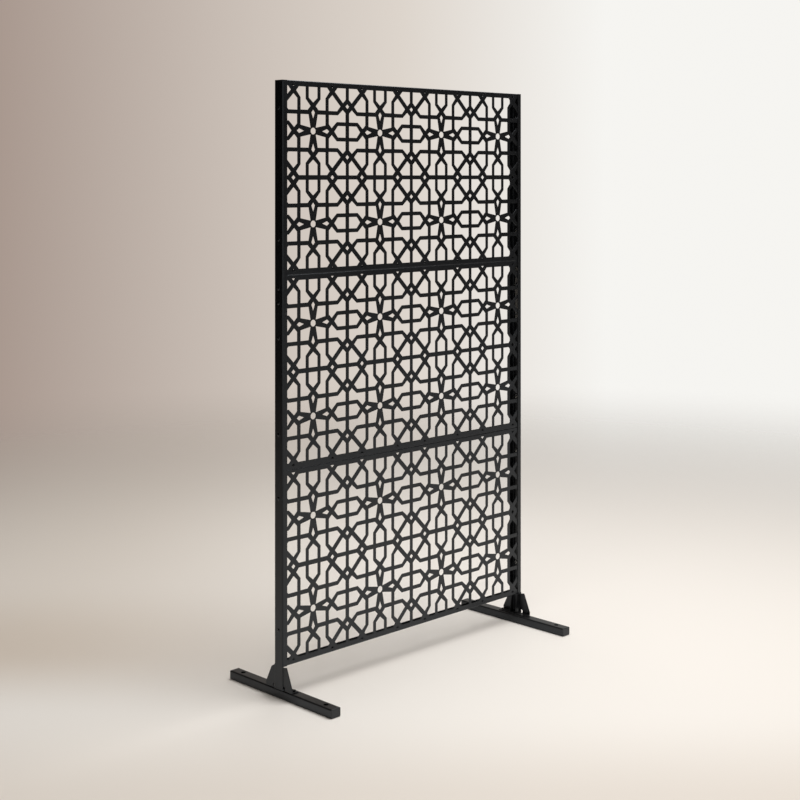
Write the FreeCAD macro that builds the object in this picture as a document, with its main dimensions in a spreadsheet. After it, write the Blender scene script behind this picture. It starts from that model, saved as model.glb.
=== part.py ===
import FreeCAD, Part
import math
import os
import Sketcher

# Free-standing metal privacy screen: three folded fretwork panels stacked between two
# channel posts, each post welded to a bracket that is bolted on a foot bar.
# Millimetres. +X runs along the screen, +Y to its back, +Z up.
# The origin is on the floor, under the middle of the screen.

# Each driving size: its name, its value and what it measures.
SIZES = (
    ("overall_width", 1140.0, "over the outer faces of the two posts"),
    ("panel_height", 609.6, "one fretwork panel, edge to edge"),
    ("panel_count", 3, "panels, one above the other"),
    ("ground_gap", 101.6, "floor to the lowest panel"),
    ("fit_gap", 0.3, "clearance of each piece that slips into another"),
    ("post_depth", 40.0, "front to back of a post"),
    ("post_leg_width", 19.0, "leg of the channel, seen from the front"),
    ("post_wall", 1.5, "sheet of the posts"),
    ("post_joint_drop", 120.0, "top of the second panel from above to the joint between post lengths"),
    ("panel_wall", 1.2, "sheet of the panels"),
    ("panel_lip", 14.0, "return lip along the back of a panel's top and bottom"),
    ("panel_back_reach", 7.2, "side screws' line to the back of the panels"),
    ("pattern_repeat", 294.7, "flower to flower"),
    ("pattern_tuck", 1.0, "openings run this far behind the post's leg"),
    ("least_opening", 4.0, "narrower slivers at the sides stay closed"),
    ("splice_wall", 3.0, "tapped plate that joins the post lengths"),
    ("splice_play", 1.5, "that plate to the panel's front sheet and to the line of its back lips"),
    ("splice_length", 190.0, "height of that plate"),
    ("splice_screw_spacing", 155.0, "between the two screws of a splice"),
    ("side_screw_drop", 87.5, "top of a panel to its upper side screw"),
    ("side_screw_spacing", 411.0, "between a panel's two side screws"),
    ("screw_diameter", 6.0, "thread of every screw and bolt"),
    ("screw_play", 0.6, "a screw hole's width over the thread"),
    ("screw_head_width", 12.0, "over the head"),
    ("screw_head_height", 2.4, "head above its seat"),
    ("side_screw_length", 12.0, "under the head"),
    ("nut_width", 11.0, "corner to corner"),
    ("nut_height", 5.0, "along the thread"),
    ("thread_play", 0.2, "a nut's bore over the thread"),
    ("foot_width", 38.0, "foot bar, along X"),
    ("foot_height", 28.0, "foot bar"),
    ("foot_tube_length", 486.0, "foot bar without its caps"),
    ("foot_wall", 1.5, "sheet of the foot bar"),
    ("foot_inset", 0.5, "foot bar's outer side behind the post's outer face"),
    ("cap_head", 3.0, "part of an end cap outside the tube"),
    ("cap_plug_length", 14.0, "part of an end cap inside the tube"),
    ("cap_plug_wall", 2.0, "wall of the hollow plug"),
    ("anchor_hole_diameter", 16.0, "holes to anchor the foot bars to a deck"),
    ("anchor_inset", 43.0, "tube's end to an anchor hole"),
    ("bracket_wall", 3.0, "plate of the brackets"),
    ("bracket_length", 126.0, "bracket at its base, along Y"),
    ("bracket_side_height", 12.0, "upright edge at each end of the bracket's base"),
    ("bracket_shoulder_length", 72.0, "bracket where its slopes end, along Y"),
    ("bracket_top_length", 48.0, "bracket's level top"),
    ("bracket_top_gap", 1.0, "bracket's top to the lowest panel"),
    ("bracket_shoulder_drop", 7.0, "bracket's top to the level where its slopes end"),
    ("bracket_flange_width", 28.0, "base flange on the foot bar, with the plate"),
    ("bracket_hole_diameter", 13.0, "round holes low in the bracket's plate"),
    ("bracket_hole_spacing", 46.0, "between them"),
    ("bracket_hole_height", 8.0, "foot bar's top to their centres"),
    ("foot_bolt_end_inset", 10.5, "bracket's end to the bolt beside it"),
    ("foot_bolt_inset", 19.5, "post's outer face to the bolts"),
    ("foot_bolt_length", 14.0, "under the head"),
    ("stiffener_wall", 1.5, "channel welded inside the bracket"),
    ("stiffener_depth", 27.0, "front to back of that channel"),
    ("stiffener_top_gap", 5.0, "bracket's top to that channel's top"),
    ("stiffener_foot_reach", 23.0, "its legs at the base, inward from the plate"),
    ("stiffener_top_reach", 10.0, "its legs at the top"),
)

QUARTER_TURN = 90
SCREW_SIDES = 6
HEAD_SIDES = 8
CENTRE_SIDES = 8
QUARTERS = 4

# Outlines of the openings round one flower, as shares of the pattern's repeat, from the
# flower's centre. Each is turned through four quarters, and the hook is mirrored too.
FLOWER_CENTRE_SHARE = 0.038
KITE_SHARES = ((0.132, 0.0), (0.200, 0.025), (0.231, 0.0), (0.200, -0.025))
PETAL_SHARES = ((0.179, 0.179), (0.065, 0.179), (0.037, 0.037), (0.179, 0.065))
HOUSE_SHARES = ((-0.0625, 0.474), (0.0625, 0.474), (0.0625, 0.359), (0.0, 0.307), (-0.0625, 0.359))
HOOK_SHARES = (
    (0.179, 0.227), (0.179, 0.359), (0.240, 0.432), (0.203, 0.474),
    (0.106, 0.474), (0.106, 0.344), (0.037, 0.269), (0.078, 0.227),
)
SHIELD_SHARES = ((0.398, 0.278), (0.278, 0.398), (0.224, 0.349), (0.224, 0.224), (0.349, 0.224))
CORNER_SHARES = ((0.477, 0.477), (0.354, 0.477), (0.315, 0.435), (0.435, 0.315), (0.477, 0.354))
QUARTERLY_SHARES = (KITE_SHARES, PETAL_SHARES, HOUSE_SHARES, HOOK_SHARES, SHIELD_SHARES, CORNER_SHARES)
DIAMOND_PLACE_SHARE = 0.2785
DIAMOND_REACH_SHARE = 0.0265

document = FreeCAD.newDocument("privacy_screen")
sheet = document.addObject("Spreadsheet::Sheet", "sizes")
for row, (name, number, words) in enumerate(SIZES, start=1):
    sheet.set("A%d" % row, name)
    sheet.set("B%d" % row, str(number))
    sheet.set("C%d" % row, words)
    sheet.setAlias("B%d" % row, name)
document.recompute()

# Places that several pieces share, as expressions on the sheet.
HALF_WIDTH = "(sizes.overall_width / 2)"
WEB_INNER = "(%s - sizes.post_wall)" % HALF_WIDTH
LEG_INNER = "(%s - sizes.post_leg_width)" % HALF_WIDTH
POST_FRONT = "(-sizes.post_depth / 2)"
POST_BACK = "(sizes.post_depth / 2)"
SCREEN_TOP = "(sizes.ground_gap + sizes.panel_count * sizes.panel_height)"
POST_JOINT = "(%s - sizes.panel_height - sizes.post_joint_drop)" % SCREEN_TOP
PANEL_OUTER = "(%s - sizes.fit_gap)" % WEB_INNER
PANEL_SIDE_INNER = "(%s - sizes.panel_wall)" % PANEL_OUTER
PANEL_FRONT = "(%s + sizes.post_wall + sizes.fit_gap)" % POST_FRONT
PANEL_DEPTH = "(sizes.panel_back_reach - %s)" % PANEL_FRONT
BRACKET_OUTER = WEB_INNER
BRACKET_INNER = "(%s - sizes.bracket_wall)" % BRACKET_OUTER
FLANGE_INNER = "(%s - sizes.bracket_flange_width)" % BRACKET_OUTER
FLANGE_TOP = "(sizes.foot_height + sizes.bracket_wall)"
FOOT_OUTER = "(%s - sizes.foot_inset)" % HALF_WIDTH
FOOT_INNER = "(%s - sizes.foot_width)" % FOOT_OUTER
FOOT_MIDDLE = "(%s - sizes.foot_width / 2)" % FOOT_OUTER
FOOT_BOLT_X = "(%s - sizes.foot_bolt_inset)" % HALF_WIDTH
FOOT_BOLT_Y = "(sizes.bracket_length / 2 - sizes.foot_bolt_end_inset)"
BRACKET_TOP = "(sizes.ground_gap - sizes.bracket_top_gap)"
STIFFENER_TOP = "(%s - sizes.stiffener_top_gap)" % BRACKET_TOP
SPLICE_FRONT = "(%s + sizes.panel_wall + sizes.splice_play)" % PANEL_FRONT
SPLICE_BACK = "(sizes.panel_back_reach - sizes.panel_wall - sizes.splice_play)"
SCREW_RADIUS = "(sizes.screw_diameter / 2)"
SCREW_HOLE_RADIUS = "((sizes.screw_diameter + sizes.screw_play) / 2)"
THREAD_RADIUS = "((sizes.screw_diameter + sizes.thread_play) / 2)"

SIDES = (("left", -1), ("right", 1))
nodes = []


def amount(expression):
    """The number that an expression on the sheet stands for now."""
    return float(sheet.evalExpression(expression))


def signed(sign, expression):
    """An X place on the left or the right half of the screen."""
    return "(%d * %s)" % (sign, expression)


def node(thing, label):
    """Makes a finished piece a node of the assembly, under its own name."""
    thing.Label = label
    nodes.append(thing)
    return thing


def place(thing, x, y, z):
    """Binds a thing's position to three expressions."""
    thing.setExpression("Placement.Base.x", x)
    thing.setExpression("Placement.Base.y", y)
    thing.setExpression("Placement.Base.z", z)


def box(name, x, y, z):
    """A block between two X, two Y and two Z places."""
    block = document.addObject("Part::Box", name)
    block.setExpression("Length", "%s - %s" % (x[1], x[0]))
    block.setExpression("Width", "%s - %s" % (y[1], y[0]))
    block.setExpression("Height", "%s - %s" % (z[1], z[0]))
    place(block, x[0], y[0], z[0])
    return block


def along_x(sign, low, high):
    """Two X places in rising order, on the left or the right half of the screen."""
    places = (signed(sign, low), signed(sign, high))
    return places if sign > 0 else places[::-1]


def prism(name, sides, radius, height, turn, x, y, z):
    """An upright many-sided bar, turned about Y: six or eight flats stand for a small round."""
    bar = document.addObject("Part::Prism", name)
    bar.Polygon = sides
    bar.setExpression("Circumradius", radius)
    bar.setExpression("Height", height)
    bar.Placement = FreeCAD.Placement(FreeCAD.Vector(), FreeCAD.Rotation(FreeCAD.Vector(0, 1, 0), turn))
    place(bar, x, y, z)
    return bar


def joined(name, shapes):
    """Several solids made one."""
    whole = document.addObject("Part::MultiFuse", name)
    whole.Shapes = shapes
    whole.Refine = True
    return whole


def group(name, shapes):
    """Several solids that stay apart, as one thing."""
    together = document.addObject("Part::Compound", name)
    together.Links = shapes
    return together


def cut(name, base, tools):
    """A solid less its cutters."""
    rest = document.addObject("Part::Cut", name)
    rest.Base = base
    rest.Tool = group(name + "_cutters", tools)
    return rest


def sketch_on(body, name, role, height="0"):
    """A sketch on one of the body's own planes, raised by an expression."""
    plane = [one for one in body.Origin.OriginFeatures if one.Role == role][0]
    sketch = body.newObject("Sketcher::SketchObject", name)
    sketch.AttachmentSupport = [(plane, "")]
    sketch.MapMode = "FlatFace"
    sketch.setExpression(".AttachmentOffset.Base.z", height)
    return sketch


def bind_point(sketch, edge, point, across, up):
    """Ties a point of a sketch to two expressions."""
    for kind, words in (("DistanceX", across), ("DistanceY", up)):
        index = sketch.addConstraint(
            Sketcher.Constraint(kind, -1, 1, edge, point, amount(words)))
        sketch.setExpression("Constraints[%d]" % index, words)


def add_outline(sketch, corners):
    """A closed outline of straight edges whose corners are pairs of expressions."""
    spots = [FreeCAD.Vector(amount(across), amount(up), 0) for across, up in corners]
    first = sketch.GeometryCount
    for index, spot in enumerate(spots):
        following = spots[(index + 1) % len(spots)]
        sketch.addGeometry(Part.LineSegment(spot, following))
    for index in range(len(spots)):
        after = first + (index + 1) % len(spots)
        sketch.addConstraint(Sketcher.Constraint("Coincident", first + index, 2, after, 1))
    for index, (across, up) in enumerate(corners):
        bind_point(sketch, first + index, 1, across, up)


def add_rectangle(sketch, across, up):
    """An upright rectangle between two places each way."""
    add_outline(sketch, [(across[0], up[0]), (across[1], up[0]), (across[1], up[1]), (across[0], up[1])])


def add_circle(sketch, across, up, diameter):
    """A circle bound to its centre and its diameter."""
    centre = FreeCAD.Vector(amount(across), amount(up), 0)
    edge = sketch.addGeometry(
        Part.Circle(centre, FreeCAD.Vector(0, 0, 1), amount(diameter) / 2))
    bind_point(sketch, edge, 3, across, up)
    index = sketch.addConstraint(Sketcher.Constraint("Diameter", edge, amount(diameter)))
    sketch.setExpression("Constraints[%d]" % index, diameter)


def pad(body, sketch, length, reverse=False):
    """Raises a sketch by a length, along its plane's normal or against it."""
    feature = body.newObject("PartDesign::Pad", sketch.Name + "_pad")
    feature.Profile = sketch
    feature.setExpression("Length", length)
    feature.Reversed = reverse
    sketch.Visibility = False
    return feature


def pocket(body, sketch, length, reverse=False):
    """Cuts a sketch into the body to a depth."""
    feature = body.newObject("PartDesign::Pocket", sketch.Name + "_pocket")
    feature.Profile = sketch
    feature.setExpression("Length", length)
    feature.Reversed = reverse
    return feature


def turned(points, quarters):
    """An outline turned by quarter turns about the flower's centre."""
    for _ in range(quarters):
        points = [(-up, across) for across, up in points]
    return points


def flower_openings():
    """Every opening round one flower, in shares of the repeat."""
    mirrored = [(-across, up) for across, up in HOOK_SHARES]
    outlines = []
    for shape in QUARTERLY_SHARES + (mirrored,):
        outlines += [turned(shape, quarters) for quarters in range(QUARTERS)]
    step = 2 * math.pi / CENTRE_SIDES
    outlines.append([
        (FLOWER_CENTRE_SHARE * math.cos(step * (index + 0.5)),
         FLOWER_CENTRE_SHARE * math.sin(step * (index + 0.5)))
        for index in range(CENTRE_SIDES)])
    return outlines


def diamond(across, up):
    """A small diamond between flowers, in shares of the repeat."""
    reach = DIAMOND_REACH_SHARE
    return [(across + reach, up), (across, up + reach), (across - reach, up), (across, up - reach)]


def kept_below(points, axis, limit):
    """The part of an outline whose coordinate along an axis is under a limit."""
    kept = []
    for here, there in zip(points, points[1:] + points[:1]):
        inside = here[axis] <= limit
        if inside:
            kept.append(here)
        if inside != (there[axis] <= limit):
            share = (limit - here[axis]) / (there[axis] - here[axis])
            kept.append(tuple(a + (b - a) * share for a, b in zip(here, there)))
    return kept


def clipped(points, half_across, half_up):
    """An outline cut to a window about the panel's middle."""
    for axis, limit in ((0, half_across), (1, half_up)):
        for _ in range(2):
            points = kept_below(points, axis, limit)
            points = [tuple(-one if place == axis else one for place, one in enumerate(spot))
                      for spot in points]
    return points


def panel_openings():
    """Every opening of a panel, as outlines in millimetres about its middle.

    The window is as wide as the gap between the posts' legs, and holds whole repeats in
    height, so the pattern ends on its own line of symmetry above and below."""
    repeat = amount("sizes.pattern_repeat")
    half_across = amount(LEG_INNER + " + sizes.pattern_tuck")
    rows = int(amount("sizes.panel_height") / repeat)
    columns = 2 * math.ceil(half_across / repeat)
    outlines = []
    for column in range(columns):
        for line in range(rows):
            across = column + 0.5 - columns / 2
            up = line + 0.5 - rows / 2
            for shape in flower_openings():
                outlines.append([(across + one, up + other) for one, other in shape])
    for column in range(columns):
        for line in range(rows + 1):
            for side in (-DIAMOND_PLACE_SHARE, DIAMOND_PLACE_SHARE):
                outlines.append(diamond(column + 0.5 - columns / 2 + side, line - rows / 2))
    for column in range(columns + 1):
        for line in range(rows):
            for side in (-DIAMOND_PLACE_SHARE, DIAMOND_PLACE_SHARE):
                outlines.append(diamond(column - columns / 2, line + 0.5 - rows / 2 + side))
    full_size = [[(one * repeat, other * repeat) for one, other in shape] for shape in outlines]
    cut_down = [clipped(shape, half_across, rows * repeat / 2) for shape in full_size]
    least = amount("sizes.least_opening")
    return [shape for shape in cut_down
            if shape and max(spot[0] for spot in shape) - min(spot[0] for spot in shape) > least]


def fretwork_sheet():
    """The panel's pierced front: one face with all its openings, given its thickness.

    It stands on Z = 0 with its outer side at Y = 0."""
    half = amount(PANEL_OUTER)
    height = amount("sizes.panel_height")
    corners = [(-half, -height / 2), (half, -height / 2), (half, height / 2), (-half, height / 2)]
    wires = []
    for outline in [corners] + panel_openings():
        spots = [FreeCAD.Vector(across, 0, up + height / 2) for across, up in outline]
        wires.append(Part.makePolygon(spots + spots[:1]))
    face = Part.makeFace(wires, "Part::FaceMakerCheese")
    return face.extrude(FreeCAD.Vector(0, amount("sizes.panel_wall"), 0))


def tray_shape():
    """The panel before its screw holes: the pierced front, four flanges and two return lips."""
    half = amount(PANEL_OUTER)
    height = amount("sizes.panel_height")
    depth = amount(PANEL_DEPTH)
    wall = amount("sizes.panel_wall")
    lip = amount("sizes.panel_lip")
    long_flange = Part.makeBox(2 * half, depth, wall)
    long_lip = Part.makeBox(2 * half, wall, lip)
    side_flange = Part.makeBox(wall, depth, height)
    folds = (
        (long_flange, -half, 0, 0),
        (long_flange, -half, 0, height - wall),
        (long_lip, -half, depth - wall, 0),
        (long_lip, -half, depth - wall, height - lip),
        (side_flange, -half, 0, 0),
        (side_flange, half - wall, 0, 0),
    )
    folded = [blank.translated(FreeCAD.Vector(x, y, z)) for blank, x, y, z in folds]
    return fretwork_sheet().fuse(folded).removeSplitter()


def tray_hole(sign, height):
    """A cutter through a panel's side flange at a height above the panel's lower edge."""
    radius = amount(SCREW_HOLE_RADIUS)
    reach = amount("sizes.side_screw_length")
    middle = FreeCAD.Vector(sign * amount(PANEL_OUTER) - reach / 2, -amount(PANEL_FRONT), height)
    step = 2 * math.pi / SCREW_SIDES
    rim = [middle + FreeCAD.Vector(0, radius * math.sin(index * step), radius * math.cos(index * step))
           for index in range(SCREW_SIDES)]
    return Part.Face(Part.makePolygon(rim + rim[:1])).extrude(FreeCAD.Vector(reach, 0, 0))


def screw_heights(base):
    """Heights of a panel's two side screws, for a panel that stands on a base."""
    upper = "(%s + sizes.panel_height - sizes.side_screw_drop)" % base
    return [upper, "(%s - sizes.side_screw_spacing)" % upper]


def splice_heights():
    """Heights of the two screws of a splice."""
    return ["(%s %s sizes.splice_screw_spacing / 2)" % (POST_JOINT, sign) for sign in "+-"]


def behind_splice(height):
    """True where a side screw passes through the splice plate, which then takes its thread."""
    return abs(amount(height) - amount(POST_JOINT)) < amount("sizes.splice_length") / 2


def side_holes(name, sign, heights, radius):
    """Cutters for side screws, from inside the panel out through the post's web."""
    start = signed(sign, "(%s - sizes.side_screw_length)" % WEB_INNER)
    reach = "(2 * sizes.side_screw_length)"
    turn = QUARTER_TURN * sign
    return [prism("%s_%d" % (name, count), SCREW_SIDES, radius, reach, turn, start, "0", height)
            for count, height in enumerate(heights)]


def side_screws(name, sign, heights):
    """Pan-head screws from the post's outer face inwards."""
    face = signed(sign, HALF_WIDTH)
    screws = []
    for count, height in enumerate(heights):
        head = prism("%s_head_%d" % (name, count), HEAD_SIDES, "sizes.screw_head_width / 2",
                     "sizes.screw_head_height", QUARTER_TURN * sign, face, "0", height)
        shank = prism("%s_shank_%d" % (name, count), SCREW_SIDES, SCREW_RADIUS,
                      "sizes.side_screw_length", -QUARTER_TURN * sign, face, "0", height)
        screws.append(joined("%s_%d" % (name, count), [head, shank]))
    return screws


def nut(name, turn, x, y, z):
    """A hexagon nut whose axis starts at a place."""
    block = prism(name + "_block", SCREW_SIDES, "sizes.nut_width / 2", "sizes.nut_height", turn, x, y, z)
    bore = prism(name + "_bore", SCREW_SIDES, THREAD_RADIUS, "sizes.nut_height", turn, x, y, z)
    return cut(name, block, [bore])


PANEL_NAMES = ("bottom", "middle", "top")


def panel_name(index):
    """A panel's name: the lowest is bottom, the highest top."""
    last = int(amount("sizes.panel_count")) - 1
    if index in (0, last):
        return PANEL_NAMES[0 if index == 0 else -1]
    return PANEL_NAMES[1] if index == 1 else "%s_%d" % (PANEL_NAMES[1], index)


def make_panel(index, tray):
    """One fretwork tray with the holes for its side screws, and its captive nuts."""
    name = "panel_" + panel_name(index)
    base = "(sizes.ground_gap + %d * sizes.panel_height)" % index
    top = "(%s + sizes.panel_height)" % base
    heights = screw_heights(base)
    splices = [height for height in splice_heights() if amount(base) < amount(height) < amount(top)]
    holes = []
    nuts = []
    for side, sign in SIDES:
        holes += [tray_hole(sign, amount(height) - amount(base)) for height in heights + splices]
        for count, height in enumerate(heights):
            if not behind_splice(height):
                nuts.append(nut("%s_%s_nut_%d" % (name, side, count), -QUARTER_TURN * sign,
                                signed(sign, PANEL_SIDE_INNER), "0", height))
    panel = document.addObject("Part::Feature", name)
    panel.Shape = tray.cut(holes)
    place(panel, "0", PANEL_FRONT, base)
    node(panel, name)
    node(group(name + "_nuts", nuts), name + "_nuts")


def web_and_legs(body, name, sign, web_base, leg_base, top):
    """A channel open towards the screen's middle; its web may start lower than its legs."""
    web = sketch_on(body, name + "_web", "XY_Plane", web_base)
    add_rectangle(web, along_x(sign, WEB_INNER, HALF_WIDTH), (POST_FRONT, POST_BACK))
    pad(body, web, "%s - %s" % (top, web_base))
    for edge, low in (("front", POST_FRONT), ("back", "(%s - sizes.post_wall)" % POST_BACK)):
        leg = sketch_on(body, "%s_%s_leg" % (name, edge), "XY_Plane", leg_base)
        add_rectangle(leg, along_x(sign, LEG_INNER, HALF_WIDTH), (low, "(%s + sizes.post_wall)" % low))
        pad(body, leg, "%s - %s" % (top, leg_base))


def make_posts(side, sign, heights):
    """The two lengths of one post, the plate that splices them and the screws."""
    lower = document.addObject("PartDesign::Body", "post_lower_%s_body" % side)
    web_and_legs(lower, "post_lower_" + side, sign, "sizes.foot_height", "sizes.ground_gap", POST_JOINT)
    upper = document.addObject("PartDesign::Body", "post_upper_%s_body" % side)
    web_and_legs(upper, "post_upper_" + side, sign, POST_JOINT, POST_JOINT, SCREEN_TOP)
    joint = amount(POST_JOINT)
    splices = splice_heights()
    for name, body, wanted in (
            ("post_lower_" + side, lower, [one for one in heights + splices if amount(one) < joint]),
            ("post_upper_" + side, upper, [one for one in heights + splices if amount(one) > joint])):
        holes = side_holes(name + "_hole", sign, wanted, SCREW_HOLE_RADIUS)
        node(cut(name, body, holes), name)
    plate_inner = "(%s - sizes.splice_wall)" % PANEL_SIDE_INNER
    plate = box("splice_plate_%s_blank" % side, along_x(sign, plate_inner, PANEL_SIDE_INNER),
                (SPLICE_FRONT, SPLICE_BACK),
                ("(%s - sizes.splice_length / 2)" % POST_JOINT,
                 "(%s + sizes.splice_length / 2)" % POST_JOINT))
    tapped = [height for height in heights + splices if behind_splice(height)]
    holes = side_holes("splice_plate_%s_hole" % side, sign, tapped, THREAD_RADIUS)
    node(cut("splice_plate_" + side, plate, holes), "splice_plate_" + side)
    name = "side_screws_" + side
    node(group(name, side_screws(name + "_one", sign, heights)), name)
    name = "splice_screws_" + side
    node(group(name, side_screws(name + "_one", sign, splices)), name)


def make_foot_bar(side, sign):
    """A rectangular tube on the floor, with its anchor holes and bolt holes."""
    name = "foot_bar_" + side
    body = node(document.addObject("PartDesign::Body", name + "_body"), name)
    half = "(sizes.foot_tube_length / 2)"
    section = sketch_on(body, name + "_section", "XZ_Plane", half)
    add_rectangle(section, along_x(sign, FOOT_INNER, FOOT_OUTER), ("0", "sizes.foot_height"))
    add_rectangle(section, along_x(sign, "(%s + sizes.foot_wall)" % FOOT_INNER,
                                   "(%s - sizes.foot_wall)" % FOOT_OUTER),
                  ("sizes.foot_wall", "(sizes.foot_height - sizes.foot_wall)"))
    pad(body, section, "sizes.foot_tube_length", reverse=True)
    anchors = sketch_on(body, name + "_anchors", "XY_Plane")
    for end in "+-":
        add_circle(anchors, signed(sign, FOOT_MIDDLE), "(%s(%s - sizes.anchor_inset))" % (end, half),
                   "sizes.anchor_hole_diameter")
    pocket(body, anchors, "sizes.foot_height", reverse=True)
    bolts = sketch_on(body, name + "_bolt_holes", "XY_Plane", "sizes.foot_height")
    for end in "+-":
        add_hexagon(bolts, signed(sign, FOOT_BOLT_X), end + FOOT_BOLT_Y, SCREW_HOLE_RADIUS)
    pocket(body, bolts, "sizes.foot_wall")


def add_hexagon(sketch, across, up, radius):
    """A small six-sided hole about a centre, with a corner along X."""
    corners = []
    for index in range(SCREW_SIDES):
        angle = index * QUARTERS * QUARTER_TURN / SCREW_SIDES
        corners.append(("(%s + %s * cos(%g deg))" % (across, radius, angle),
                        "(%s + %s * sin(%g deg))" % (up, radius, angle)))
    add_outline(sketch, corners)


def make_foot_caps(side, sign):
    """The two plugs that close a foot bar: a head over the tube's end and a hollow plug in it."""
    for end, direction in (("front", -1), ("back", 1)):
        name = "foot_cap_%s_%s" % (end, side)
        body = node(document.addObject("PartDesign::Body", name + "_body"), name)
        tube_end = "(sizes.foot_tube_length / 2)"
        head = sketch_on(body, name + "_head", "XZ_Plane", "(%d * %s)" % (-direction, tube_end))
        add_rectangle(head, along_x(sign, FOOT_INNER, FOOT_OUTER), ("0", "sizes.foot_height"))
        pad(body, head, "sizes.cap_head", reverse=direction > 0)
        plug = sketch_on(body, name + "_plug", "XZ_Plane", "(%d * %s)" % (-direction, tube_end))
        edge = "(sizes.foot_wall + sizes.fit_gap)"
        for inward in (edge, "(%s + sizes.cap_plug_wall)" % edge):
            add_rectangle(plug,
                          along_x(sign, "(%s + %s)" % (FOOT_INNER, inward), "(%s - %s)" % (FOOT_OUTER, inward)),
                          (inward, "(sizes.foot_height - %s)" % inward))
        pad(body, plug, "sizes.cap_plug_length", reverse=direction < 0)


def make_bracket(side, sign):
    """A folded bracket: an upright plate that tapers to the post and a flange on the foot bar."""
    name = "bracket_" + side
    body = node(document.addObject("PartDesign::Body", name + "_body"), name)
    plate = sketch_on(body, name + "_plate", "YZ_Plane", signed(sign, BRACKET_OUTER))
    levels = (
        ("(sizes.bracket_length / 2)", "sizes.foot_height"),
        ("(sizes.bracket_length / 2)", "(sizes.foot_height + sizes.bracket_side_height)"),
        ("(sizes.bracket_shoulder_length / 2)", "(%s - sizes.bracket_shoulder_drop)" % BRACKET_TOP),
        ("(sizes.bracket_top_length / 2)", BRACKET_TOP),
    )
    back_edge = [(across, up) for across, up in levels]
    front_edge = [("-" + across, up) for across, up in reversed(levels)]
    add_outline(plate, back_edge + front_edge)
    pad(body, plate, "sizes.bracket_wall", reverse=sign > 0)
    flange = sketch_on(body, name + "_flange", "XY_Plane", "sizes.foot_height")
    add_rectangle(flange, along_x(sign, FLANGE_INNER, BRACKET_OUTER),
                  ("(-sizes.bracket_length / 2)", "(sizes.bracket_length / 2)"))
    pad(body, flange, "sizes.bracket_wall")
    rounds = sketch_on(body, name + "_rounds", "YZ_Plane", signed(sign, BRACKET_OUTER))
    for end in "+-":
        add_circle(rounds, "(%ssizes.bracket_hole_spacing / 2)" % end,
                   "(sizes.foot_height + sizes.bracket_hole_height)", "sizes.bracket_hole_diameter")
    pocket(body, rounds, "sizes.bracket_wall", reverse=sign < 0)
    bolts = sketch_on(body, name + "_bolt_holes", "XY_Plane", FLANGE_TOP)
    for end in "+-":
        add_hexagon(bolts, signed(sign, FOOT_BOLT_X), end + FOOT_BOLT_Y, SCREW_HOLE_RADIUS)
    pocket(body, bolts, "sizes.bracket_wall")


def make_stiffener(side, sign):
    """A channel welded upright inside the bracket, its legs tapering towards the top."""
    name = "bracket_stiffener_" + side
    body = node(document.addObject("PartDesign::Body", name + "_body"), name)
    section = sketch_on(body, name + "_section", "XY_Plane", FLANGE_TOP)
    web_face = "(%s - sizes.stiffener_wall)" % BRACKET_INNER
    tip = "(%s - sizes.stiffener_foot_reach)" % BRACKET_INNER
    outer = "(sizes.stiffener_depth / 2)"
    inner = "(sizes.stiffener_depth / 2 - sizes.stiffener_wall)"
    profile = ((BRACKET_INNER, "-" + outer), (tip, "-" + outer), (tip, "-" + inner), (web_face, "-" + inner),
               (web_face, inner), (tip, inner), (tip, outer), (BRACKET_INNER, outer))
    add_outline(section, [(signed(sign, across), up) for across, up in profile])
    pad(body, section, "%s - %s" % (STIFFENER_TOP, FLANGE_TOP))
    taper = sketch_on(body, name + "_taper", "XZ_Plane", outer)
    edge = "(%s - sizes.stiffener_top_reach)" % BRACKET_INNER
    add_outline(taper, [(signed(sign, tip), FLANGE_TOP), (signed(sign, edge), STIFFENER_TOP),
                        (signed(sign, tip), STIFFENER_TOP)])
    pocket(body, taper, "sizes.stiffener_depth")


def make_foot_bolts(side, sign):
    """The two bolts that hold a bracket down on its foot bar, and their nuts inside the tube."""
    bolts = []
    nuts = []
    x = signed(sign, FOOT_BOLT_X)
    under_wall = "(sizes.foot_height - sizes.foot_wall)"
    for count, end in enumerate("+-"):
        y = end + FOOT_BOLT_Y
        name = "foot_bolt_%s_%d" % (side, count)
        head = prism(name + "_head", HEAD_SIDES, "sizes.screw_head_width / 2", "sizes.screw_head_height",
                     0, x, y, FLANGE_TOP)
        shank = prism(name + "_shank", SCREW_SIDES, SCREW_RADIUS, "sizes.foot_bolt_length",
                      2 * QUARTER_TURN, x, y, FLANGE_TOP)
        bolts.append(joined(name, [head, shank]))
        nuts.append(nut("foot_nut_%s_%d" % (side, count), 2 * QUARTER_TURN, x, y, under_wall))
    node(group("foot_bolts_" + side, bolts), "foot_bolts_" + side)
    node(group("foot_nuts_" + side, nuts), "foot_nuts_" + side)


def main():
    """Makes every piece, checks it and writes it out."""
    tray = tray_shape()
    bases = []
    for index in range(int(amount("sizes.panel_count"))):
        make_panel(index, tray)
        bases.append("(sizes.ground_gap + %d * sizes.panel_height)" % index)
    heights = [height for base in bases for height in screw_heights(base)]
    for side, sign in SIDES:
        make_posts(side, sign, heights)
        make_foot_bar(side, sign)
        make_foot_caps(side, sign)
        make_bracket(side, sign)
        make_stiffener(side, sign)
        make_foot_bolts(side, sign)
    document.recompute()
    for thing in document.Objects:
        if "Invalid" in thing.State or "Error" in thing.State:
            raise RuntimeError("%s did not recompute: %s" % (thing.Label, thing.State))
    os.makedirs("parts", exist_ok=True)
    for piece in nodes:
        shape = piece.Shape
        if shape.isNull() or not shape.isValid():
            raise RuntimeError("%s has no valid shape" % piece.Label)
        shape.exportStep("parts/%s.step" % piece.Label)
        print("%-26s %3d solids %12.1f mm3" % (piece.Label, len(shape.Solids), shape.Volume))


main()
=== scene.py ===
import math

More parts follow.
